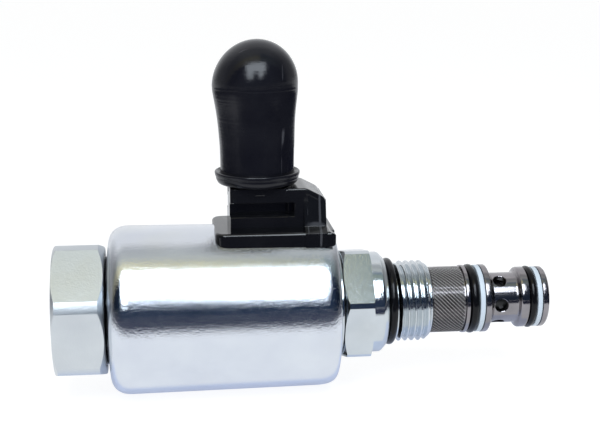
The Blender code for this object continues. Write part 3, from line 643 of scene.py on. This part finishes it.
def make_cap():
    """Dust cap: profile (z, r) carried round an upright axis that leans with the rubber.

    The axis stands off by a small shift that depends on height only, and the dome's radius is
    R cos a at the height H sin a.
    """
    dome_z = 60.5
    a = np.radians(np.linspace(0.0, 90.0, 22))
    dome = np.stack([dome_z + 11.9 * np.sin(a), 11.35 * np.cos(a)], axis=-1)
    b = a[::-1]
    hollow = np.stack([dome_z + 10.4 * np.sin(b), 9.85 * np.cos(b)], axis=-1)
    skirt = filleted([(36.0, 8.4, 0), (34.3, 8.6, 0.3), (34.3, 10.4, 1.1), (35.6, 11.05, 0.5),
                      (36.45, 11.1, 0.12), (36.55, 11.28, 0.1), (37.5, 11.42, 0.35), (37.75, 10.95, 0.3),
                      (36.95, 9.9, 0.05), (37.9, 9.82, 0.1), (42.5, 9.85, 2.5), (52.0, 10.3, 5.0),
                      (58.5, 11.26, 2.5), (59.6, 11.34, 0.3), (59.85, 11.31, 0.15), (60.1, 11.35, 0.2)],
                     False, 6)
    inside = filleted([(52.0, 9.1, 4.0), (42.5, 8.4, 2.0), (36.0, 8.4, 0)], False, 5)
    profile = np.concatenate([skirt, dome, hollow, inside[:-1]])
    lean = np.interp(profile[:, 0], [45.0, 60.4, 72.4], [0.0, -0.45, 0.15])
    points = round_upright(CONNECTOR_X + lean[:, None], profile[:, 1:], profile[:, :1], full_turn(144))
    piece("dust_cap_visual", [patch(points, True, True)], "cap", CAP_RUBBER, ["dust_cap"],
          sharp=60.0)


# ---------------------------------------------------------------- body, cage and seals

def make_body():
    """Hexagonal body with its collar, seat and undercut, and a true helical thread.

    The thread's height is a function of the phase x / pitch + angle / turn, and the grid's rows follow
    the helix, so that every crest lies on a row. A cone cuts the thread down at its end.
    """
    flats, turned_r, corner_at = 28.575, 16.1, 12.5
    angle = section_angles(flats, turned_r, corner_at)
    radius = hexagon_radius(angle, flats, turned_r, corner_at)
    rear_r, rear_in = chamfered(radius, turned_r, 1.7, 0.9)
    front_r, front_in = chamfered(radius, turned_r, 0.9, 0.3)
    bore, collar_r, root_r = TUBE_R + 0.3, 13.8, 9.95
    hexagonal = [(HEX_REAR, bore), (HEX_REAR, rear_r), (HEX_REAR + rear_in, radius),
                 (HEX_FRONT - front_in, radius), (HEX_FRONT, front_r), (HEX_FRONT, collar_r)]
    points = np.stack([round_axis(x, r, angle) for x, r in hexagonal])
    collar = filleted([(HEX_FRONT, collar_r, 0), (-1.5, collar_r, 0.5), (0.0, 12.2, 0.15), (0.0, 9.5, 0.2),
                       (THREAD_START - 0.4, 9.5, 0.2), (THREAD_START, root_r, 0)], False)
    collar_points = round_axis(collar[:, :1], collar[:, 1:], angle)

    pitch, crest_r, per_pitch = 1.814, 11.11, 16
    closing = np.append(angle, angle[0] + 2 * math.pi)
    turn = (closing - closing[0]) / (2 * math.pi)
    rows = np.arange(per_pitch * (int((THREAD_END - THREAD_START) / pitch) + 3))
    x = np.clip(THREAD_START + (rows[:, None] / per_pitch - turn[None]) * pitch, THREAD_START, THREAD_END)
    phase = np.mod((x - THREAD_START) / pitch + turn[None], 1.0)
    slope = np.clip((0.5 - np.abs(phase - 0.5)) / 0.5 * 1.18 - 0.06, 0.0, 1.0)
    height = root_r + (crest_r - root_r) * (0.5 - 0.5 * np.cos(np.pi * slope) + slope) / 2
    start_length, cone_length, cone_depth = 1.1, 1.5, 1.25
    run_in = np.clip((x - THREAD_START) / start_length, 0.0, 1.0)
    run_out = np.clip((x - (THREAD_END - cone_length)) / cone_length, 0.0, 1.0)
    height = root_r + (height - root_r) * run_in
    height = np.minimum(height, crest_r - cone_depth * run_out)
    height = np.where(run_out > 0.999, root_r - 0.1, height)
    thread = round_axis(x, height, closing[None])

    inside = [(THREAD_END, root_r - 0.1), (THREAD_END, CAGE_TAIL_R + 0.3), (1.2, CAGE_TAIL_R + 0.3),
              (1.2, 1.9), (-2.4, 1.9), (-2.4, 6.8), (-5.5, 6.8), (-5.5, bore), (HEX_REAR, bore)]
    bore_points = np.stack([round_axis(px, pr, angle) for px, pr in inside])
    piece("valve_body_visual", [patch(points, wrap_columns=True), patch(collar_points, wrap_columns=True),
                                patch(thread), patch(bore_points, wrap_columns=True)],
          "valve", ZINC_BODY, ["valve_body"], sharp=24.0)


CAGE_COLUMNS = 144
CAGE_START = math.radians(-33.0)
CAGE_ANGLES = CAGE_START + full_turn(CAGE_COLUMNS)


def drilled_band(surface_r, x_range, hole_x, hole_r, holes, chamfer):
    """A band of a cylinder with round holes: every sector blends a circle into the sector's border.

    Each point is (1 - t) circle + t border, in distance along the axis and angle round it. The circle's
    angle is asin(r sin b / R), as drilled straight through.
    """
    span = 2 * math.pi / holes
    side, ends = CAGE_COLUMNS // holes, 12
    x0, x1 = x_range
    s, e = np.linspace(-0.5, 0.5, side + 1) * span, np.linspace(x0, x1, ends + 1)
    border_x = np.concatenate([np.full(side, x0), e[:-1], np.full(side, x1), e[::-1][:-1]])
    border_a = np.concatenate([s[:-1], np.full(ends, s[-1]), s[::-1][:-1], np.full(ends, s[0])])
    bearing = np.arctan2(border_a * surface_r, border_x - hole_x)
    rim_r = hole_r + chamfer
    circle_x = hole_x + rim_r * np.cos(bearing)
    circle_a = np.arcsin(rim_r * np.sin(bearing) / surface_r)
    t = np.linspace(0.0, 1.0, 7)[:, None] ** 1.3
    along, around = circle_x + (border_x - circle_x) * t, circle_a + (border_a - circle_a) * t
    bands = []
    for k in range(holes):
        middle = CAGE_START + span * (k + 0.5)
        bands.append(patch(round_axis(along, surface_r, around + middle), wrap_columns=True))
    return bands, bearing


def hole_walls(along, across, height, holes):
    """The same wall in every hole: across is a point's distance from the hole's line, height its
    distance from the valve's axis along that line."""
    walls = []
    for k in range(holes):
        middle = CAGE_START + 2 * math.pi / holes * (k + 0.5)
        y = -height * math.cos(middle) + across * math.sin(middle)
        z = height * math.sin(middle) + across * math.cos(middle)
        walls.append(patch(np.stack([along, y, z], axis=-1), wrap_columns=True))
    return walls


def outer_wall(outer_r, inner_r, hole_x, hole_r, holes, bearing, chamfer):
    """The wall of each hole next to the outside, straight in from a chamfered rim."""
    offset = np.stack([np.full_like(bearing, hole_r + chamfer), np.full_like(bearing, hole_r),
                       np.full_like(bearing, hole_r)])
    across = offset * np.sin(bearing)
    drop = np.array([0.0, chamfer, 0.0])[:, None]
    outer = np.sqrt(outer_r ** 2 - across ** 2) - drop
    height = np.where(np.arange(3)[:, None] < 2, outer, np.sqrt(inner_r ** 2 - across ** 2))
    return hole_walls(hole_x + offset * np.cos(bearing), across, height, holes)


def inner_wall(outer_r, hole_x, hole_r, holes, outer_bearing, inner_bearing):
    """The deeper part of each hole, whose points turn from the outer border's bearings to the bore's."""
    t = np.linspace(0.0, 1.0, 3)[:, None]
    turn = np.unwrap(inner_bearing - outer_bearing)
    bearing = outer_bearing + (turn - 2 * math.pi * np.round(turn.mean() / (2 * math.pi))) * t
    across = hole_r * np.sin(bearing)
    shell = outer_r + (CAGE_BORE_R - outer_r) * t
    return hole_walls(hole_x + hole_r * np.cos(bearing), across, np.sqrt(shell ** 2 - across ** 2), holes)


def make_cage():
    """Ported cage: a turned profile with two drilled bands, outside and in its bore.

    Each hole's wall runs from the outside to a shell that lies first_depth deeper, then to the bore.
    """
    chamfer, first_depth = 0.12, 0.6
    supply, waist = (14.0, 20.4), (30.1, 36.2)
    supply_hole, waist_hole = (17.2, 2.1, 4), (32.1, 1.85, 6)
    outside = [[(1.5, CAGE_BORE_R, 0), (1.5, CAGE_TAIL_R, 0.4), (12.2, CAGE_TAIL_R, 0.1), (12.3, 8.35, 0.1),
                (supply[0], 8.35, 0)],
               [(supply[1], 8.35, 0), (21.8, 8.35, 0.1), (21.8, 9.4, 0.15), (22.8, 9.4, 0.15),
                (22.8, 6.95, 0.2), (27.2, 6.95, 0.2), (27.2, 9.4, 0.15), (28.7, 9.4, 0.3),
                (29.6, 7.6, 0.8), (30.05, 6.98, 0.5), (waist[0], 6.98, 0)],
               [(waist[1], 6.98, 0), (36.9, 6.98, 0.4), (37.3, 8.1, 0.4), (37.8, 8.4, 0.3),
                (39.6, 8.4, 0.12), (39.6, 6.5, 0.2), (43.5, 6.5, 0.2), (43.5, 8.4, 0.12),
                (44.7, 8.4, 0.2), (NOSE_END, 7.9, 0.1), (NOSE_END, CAGE_BORE_R, 0.1),
                (NOSE_END - 0.4, CAGE_BORE_R, 0), (NOSE_END - 0.4, 6.1, 0), (NOSE_END - 1.6, 6.1, 0),
                (NOSE_END - 1.6, CAGE_BORE_R, 0), (waist[1], CAGE_BORE_R, 0)],
               [(waist[0], CAGE_BORE_R, 0), (supply[1], CAGE_BORE_R, 0)],
               [(supply[0], CAGE_BORE_R, 0), (1.5, CAGE_BORE_R, 0)]]
    patches = []
    for corners in outside:
        profile = filleted(corners, False)
        patches.append(patch(round_axis(profile[:, :1], profile[:, 1:], CAGE_ANGLES), wrap_columns=True))
    for x_range, (x, r, holes), outer_r in ((supply, supply_hole, 8.35), (waist, waist_hole, 6.98)):
        outer, outer_bearing = drilled_band(outer_r, x_range, x, r, holes, chamfer)
        inner, inner_bearing = drilled_band(CAGE_BORE_R, x_range, x, r, holes, 0.0)
        shell_r = outer_r - first_depth
        patches += outer + inner
        patches += outer_wall(outer_r, shell_r, x, r, holes, outer_bearing, chamfer)
        patches += inner_wall(shell_r, x, r, holes, outer_bearing, inner_bearing)
    piece("cage_visual", patches, "valve", POLISHED, ["cage"], sharp=30.0)


def bundle(points, rings=False):
    """Wires (wire, point along it, point round it) as one patch, each closed to a ring where asked."""
    count, along, sides = points.shape[:3]
    starts = np.arange(count)[:, None, None] * along * sides
    return points.reshape(-1, 3), (grid_faces(along, sides, rings, True)[None] + starts).reshape(-1, 4)


def make_screen():
    """Woven screen in a two-over, two-under twill, as round wires, the ones across thinner and deeper.

    A lengthwise wire k stands out by the lift at crossing s, or in by it where (k + s) mod 4 > 1, and the
    wires across it do the opposite, all of them a drop deeper.
    """
    x0, x1, mean_r, lift, across, along, sides = 12.5, 21.5, 8.98, 0.07, 208, 33, 5
    thick, thin, drop = 0.075, 0.055, 0.03
    b = full_turn(sides)
    margin = lift + 0.1
    inside = x1 - x0 - 2 * margin
    k, s = np.arange(across)[:, None, None], np.arange(along)[None, :, None]
    rise = np.where(np.mod(k + s, 4) > 1, -lift, lift)
    angle = k * 2 * math.pi / across + thick * np.cos(b) / mean_r + 0.0 * s
    lengthwise = bundle(round_axis(x0 + margin + inside * s / (along - 1),
                                   mean_r + rise + thick * np.sin(b), angle))
    j, turn = np.arange(along)[:, None, None], np.arange(across)[None, :, None]
    rise = np.where(np.mod(turn + j, 4) > 1, lift, -lift) - drop
    crosswise = bundle(round_axis(x0 + margin + inside * j / (along - 1) + thin * np.cos(b),
                                  mean_r + rise + thin * np.sin(b), turn * 2 * math.pi / across), rings=True)
    piece("filter_screen_visual", [lengthwise, crosswise], "valve", MESH_WIRE, ["filter_screen"],
          sharp=80.0, closed=False)


def make_seals():
    """The O-rings, each a circle of its section carried round the axis, and the white rings beside them."""
    for name, x, mean_r, section_r in (("nut_seal", NUT_FRONT - 0.4, 13.9, 1.0),
                                       ("port_oring", 1.35, 10.9, 1.1),
                                       ("upper_oring", 24.3, 8.4, 1.2), ("lower_oring", 40.85, 7.65, 0.97)):
        b = full_turn(28)[:, None]
        points = round_axis(x + section_r * np.cos(b), mean_r + section_r * np.sin(b), full_turn(160))
        piece(name + "_visual", [patch(points, True, True)], "valve", O_RING, [name])
    for name, x0, x1, outer_r, inner_r in (("upper_backup_ring", 25.65, 27.0, 9.3, 7.25),
                                           ("lower_backup_ring", 42.0, 43.3, 8.33, 6.8)):
        turned(name + "_visual", [(x0, inner_r, 0), (x0, outer_r, 0.2), (x1, outer_r, 0.2), (x1, inner_r, 0)],
               "valve", PTFE, [name])


def make_spool():
    """The spool with its waist and spring bore, and the drilled seat of its spring."""
    turned("spool_visual", [(10.0, 0.0, 0), (10.0, 5.25, 0.4), (14.2, 5.25, 0.1), (14.2, 3.6, 0.2),
                            (20.4, 3.6, 0.2), (20.4, 5.25, 0.1), (38.0, 5.25, 0.4), (38.0, 3.5, 0.2),
                            (28.5, 3.5, 0.2), (28.5, 1.5, 0), (16.0, 1.5, 0), (16.0, 0.0, 0)],
           "spool", SPOOL_STEEL, ["spool"], columns=96, closed=False)
    seat_rear = NOSE_END - 2.9
    turned("spring_seat_visual", [(seat_rear, 2.0, 0.2), (seat_rear, 5.25, 0.2), (NOSE_END - 1.6, 5.25, 0.2),
                                  (NOSE_END - 1.6, 2.0, 0.3)], "valve", POLISHED, ["spring_seat"],
           columns=96)


make_seals()
make_nut()
make_can()
make_washers()
make_tube()
make_connector()
make_cap()
make_body()
make_cage()
make_screen()
make_spool()

INNER_FINISHES = {
    "rear_flux_plate": IRON, "bobbin": NYLON, "winding": COPPER, "pole_piece": IRON, "core_seal": O_RING,
    "air_gap_shim": BRASS, "armature": IRON, "push_pin": STAINLESS, "armature_spring": SPRING,
    "return_spring": SPRING, "retaining_ring": SPRING,
}
for node_name, node_finish in INNER_FINISHES.items():
    for material_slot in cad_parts[node_name].material_slots:
        material_slot.material = node_finish


# ---------------------------------------------------------------- stage, light and camera

FLOOR_Z, CARD_Z, SHADOW_Z = -22.95, -22.6, -22.85
FAR, FRONT_Y, BACK_Y = 1500, -105, 350


def card(name, x_range, y_range, z, colour):
    """A flat rectangle with an even glow of its colour, seen only in reflections."""
    (x0, x1), (y0, y1) = x_range, y_range
    mesh = bpy.data.meshes.new(name)
    mesh.from_pydata([(x * MM, y * MM, z * MM) for x, y in ((x0, y0), (x1, y0), (x1, y1), (x0, y1))], [],
                     [(0, 1, 2, 3)])
    obj = bpy.data.objects.new(name, mesh)
    bpy.context.scene.collection.objects.link(obj)
    made = Finish(name, colour, 0.0, 1.0)
    made.feed(0.0, "Specular IOR Level")
    made.feed(colour, "Emission Color")
    made.feed(1.0, "Emission Strength")
    mesh.materials.append(made.material)
    obj.visible_camera = obj.visible_shadow = obj.visible_diffuse = False


def make_floor():
    """A pale floor, brighter to the camera than to the pieces that mirror it."""
    bpy.ops.mesh.primitive_plane_add(size=14.0, location=(0.0, 0.0, FLOOR_Z * MM))
    floor = bpy.context.object
    floor.name = "floor"
    made = Finish("pale_floor", (0.25, 0.25, 0.25), 0.0, 0.9)
    made.feed(0.1, "Specular IOR Level")
    seen = made.tree.nodes.new('ShaderNodeLightPath').outputs['Is Camera Ray']
    made.feed(colour_mix(made.tree, seen, (0.645, 0.66, 0.69), (0.86, 0.86, 0.86)), "Emission Color")
    made.feed(1.0, "Emission Strength")
    floor.data.materials.append(made.material)


def make_world():
    """Studio surround: colour by the height angle of the direction, counted from -Y over the top.

    A share of 0 is level with the front, 0.5 straight up and 1 level with the back. A band of it turns
    blue to the right, and everything dims to both sides.
    """
    world = bpy.data.worlds.new("studio")
    bpy.context.scene.world = world
    world.use_nodes = True
    tree = world.node_tree
    where = tree.nodes.new('ShaderNodeTexCoord').outputs['Generated']
    parts = tree.nodes.new('ShaderNodeSeparateXYZ')
    tree.links.new(where, parts.inputs[0])
    sideways, towards_back, upwards = parts.outputs
    angle = math_node(tree, 'ARCTAN2', upwards, math_node(tree, 'MULTIPLY', towards_back, -1.0))
    share = math_node(tree, 'DIVIDE', angle, math.pi)
    ramp = tree.nodes.new('ShaderNodeValToRGB')
    stops = [(0.0, (0.022, 0.036, 0.070)), (0.335, (0.022, 0.036, 0.070)), (0.355, (0.86, 0.83, 0.66)),
             (0.435, (0.84, 0.79, 0.46)), (0.455, (0.53, 0.55, 0.53)), (0.52, (0.55, 0.58, 0.58)),
             (0.56, (0.44, 0.46, 0.47)), (0.60, (0.50, 0.52, 0.54)), (0.64, (0.85, 0.86, 0.88)),
             (0.72, (0.80, 0.82, 0.86)), (1.0, (0.92, 0.94, 0.97))]
    band = ramp.color_ramp
    while len(band.elements) < len(stops):
        band.elements.new(0.5)
    for element, (at, colour) in zip(band.elements, stops):
        element.position = at
        element.color = (*colour, 1.0)
    tree.links.new(share, ramp.inputs[0])
    bluer = colour_mix(tree, spread(tree, sideways, 0.105, 0.14), ramp.outputs[0], (0.36, 0.46, 0.66),
                       'MULTIPLY')
    in_band = math_node(tree, 'MULTIPLY', spread(tree, share, 0.34, 0.35),
                        spread(tree, share, 0.46, 0.50, 1.0, 0.0))
    tinted = colour_mix(tree, in_band, ramp.outputs[0], bluer)
    aside = spread(tree, math_node(tree, 'ABSOLUTE', sideways), 0.45, 0.8, 1.0, 0.35)
    shaded = colour_mix(tree, 1.0, tinted, aside, 'MULTIPLY')
    seen = tree.nodes.new('ShaderNodeLightPath').outputs['Is Camera Ray']
    mixed = colour_mix(tree, seen, shaded, (1.0, 1.0, 1.0))
    tree.links.new(mixed, tree.nodes["Background"].inputs['Color'])


def make_camera():
    """The camera that the photo's hexagon corners and ring planes were solved for."""
    data = bpy.data.cameras.new("camera")
    data.sensor_width = 36.0
    data.lens = 75.2
    data.clip_start, data.clip_end = 0.01, 50.0
    obj = bpy.data.objects.new("camera", data)
    bpy.context.scene.collection.objects.link(obj)
    yaw, pitch = math.radians(6.52), math.radians(13.0)
    look = Vector((math.sin(yaw) * math.cos(pitch), math.cos(yaw) * math.cos(pitch), -math.sin(pitch)))
    obj.matrix_world = (Matrix.Translation((-0.0605, -0.3287, 0.0993))
                        @ look.to_track_quat('-Z', 'Y').to_matrix().to_4x4())
    bpy.context.scene.camera = obj


def make_softbox():
    """One window of light above the camera with a leg at each side, out of three area lights.

    They lie in a plane square to its direction; u runs along X and v up the plane.
    """
    lift, away, brightness = math.radians(49.0), 0.7, 7.0
    aim = Vector((-0.03, 0.0, 0.01))
    middle = aim + away * Vector((0.0, -math.cos(lift), math.sin(lift)))
    up = Vector((0.0, math.sin(lift), math.cos(lift)))
    for name, u, v, size in (("softbox_top", -0.041, 0.0125, (0.606, 0.297)),
                             ("softbox_left", -0.238, -0.231, (0.212, 0.19)),
                             ("softbox_right", 0.123, -0.231, (0.134, 0.19))):
        light = bpy.data.lights.new(name, 'AREA')
        light.shape = 'RECTANGLE'
        light.size, light.size_y = size
        light.energy = brightness * math.pi * size[0] * size[1]
        light.color = (0.84, 0.92, 1.0)
        obj = bpy.data.objects.new(name, light)
        bpy.context.scene.collection.objects.link(obj)
        obj.location = middle + Vector((u, 0.0, 0.0)) + v * up
        obj.rotation_euler = (middle - aim).to_track_quat('Z', 'Y').to_euler()


make_floor()
make_world()
DARK = (0.012, 0.014, 0.028)
card("dark_card_front", (-FAR, FAR), (-FAR, FRONT_Y), CARD_Z, DARK)
card("shadow_under", (-92, 46), (-12, 60), SHADOW_Z, (0.36, 0.39, 0.47))
card("dark_card_right", (120, FAR), (FRONT_Y, BACK_Y), CARD_Z, DARK)
card("dark_card_left", (-FAR, -240), (FRONT_Y, BACK_Y), CARD_Z, DARK)
make_softbox()
make_camera()
bpy.context.scene.view_settings.view_transform = 'Standard'
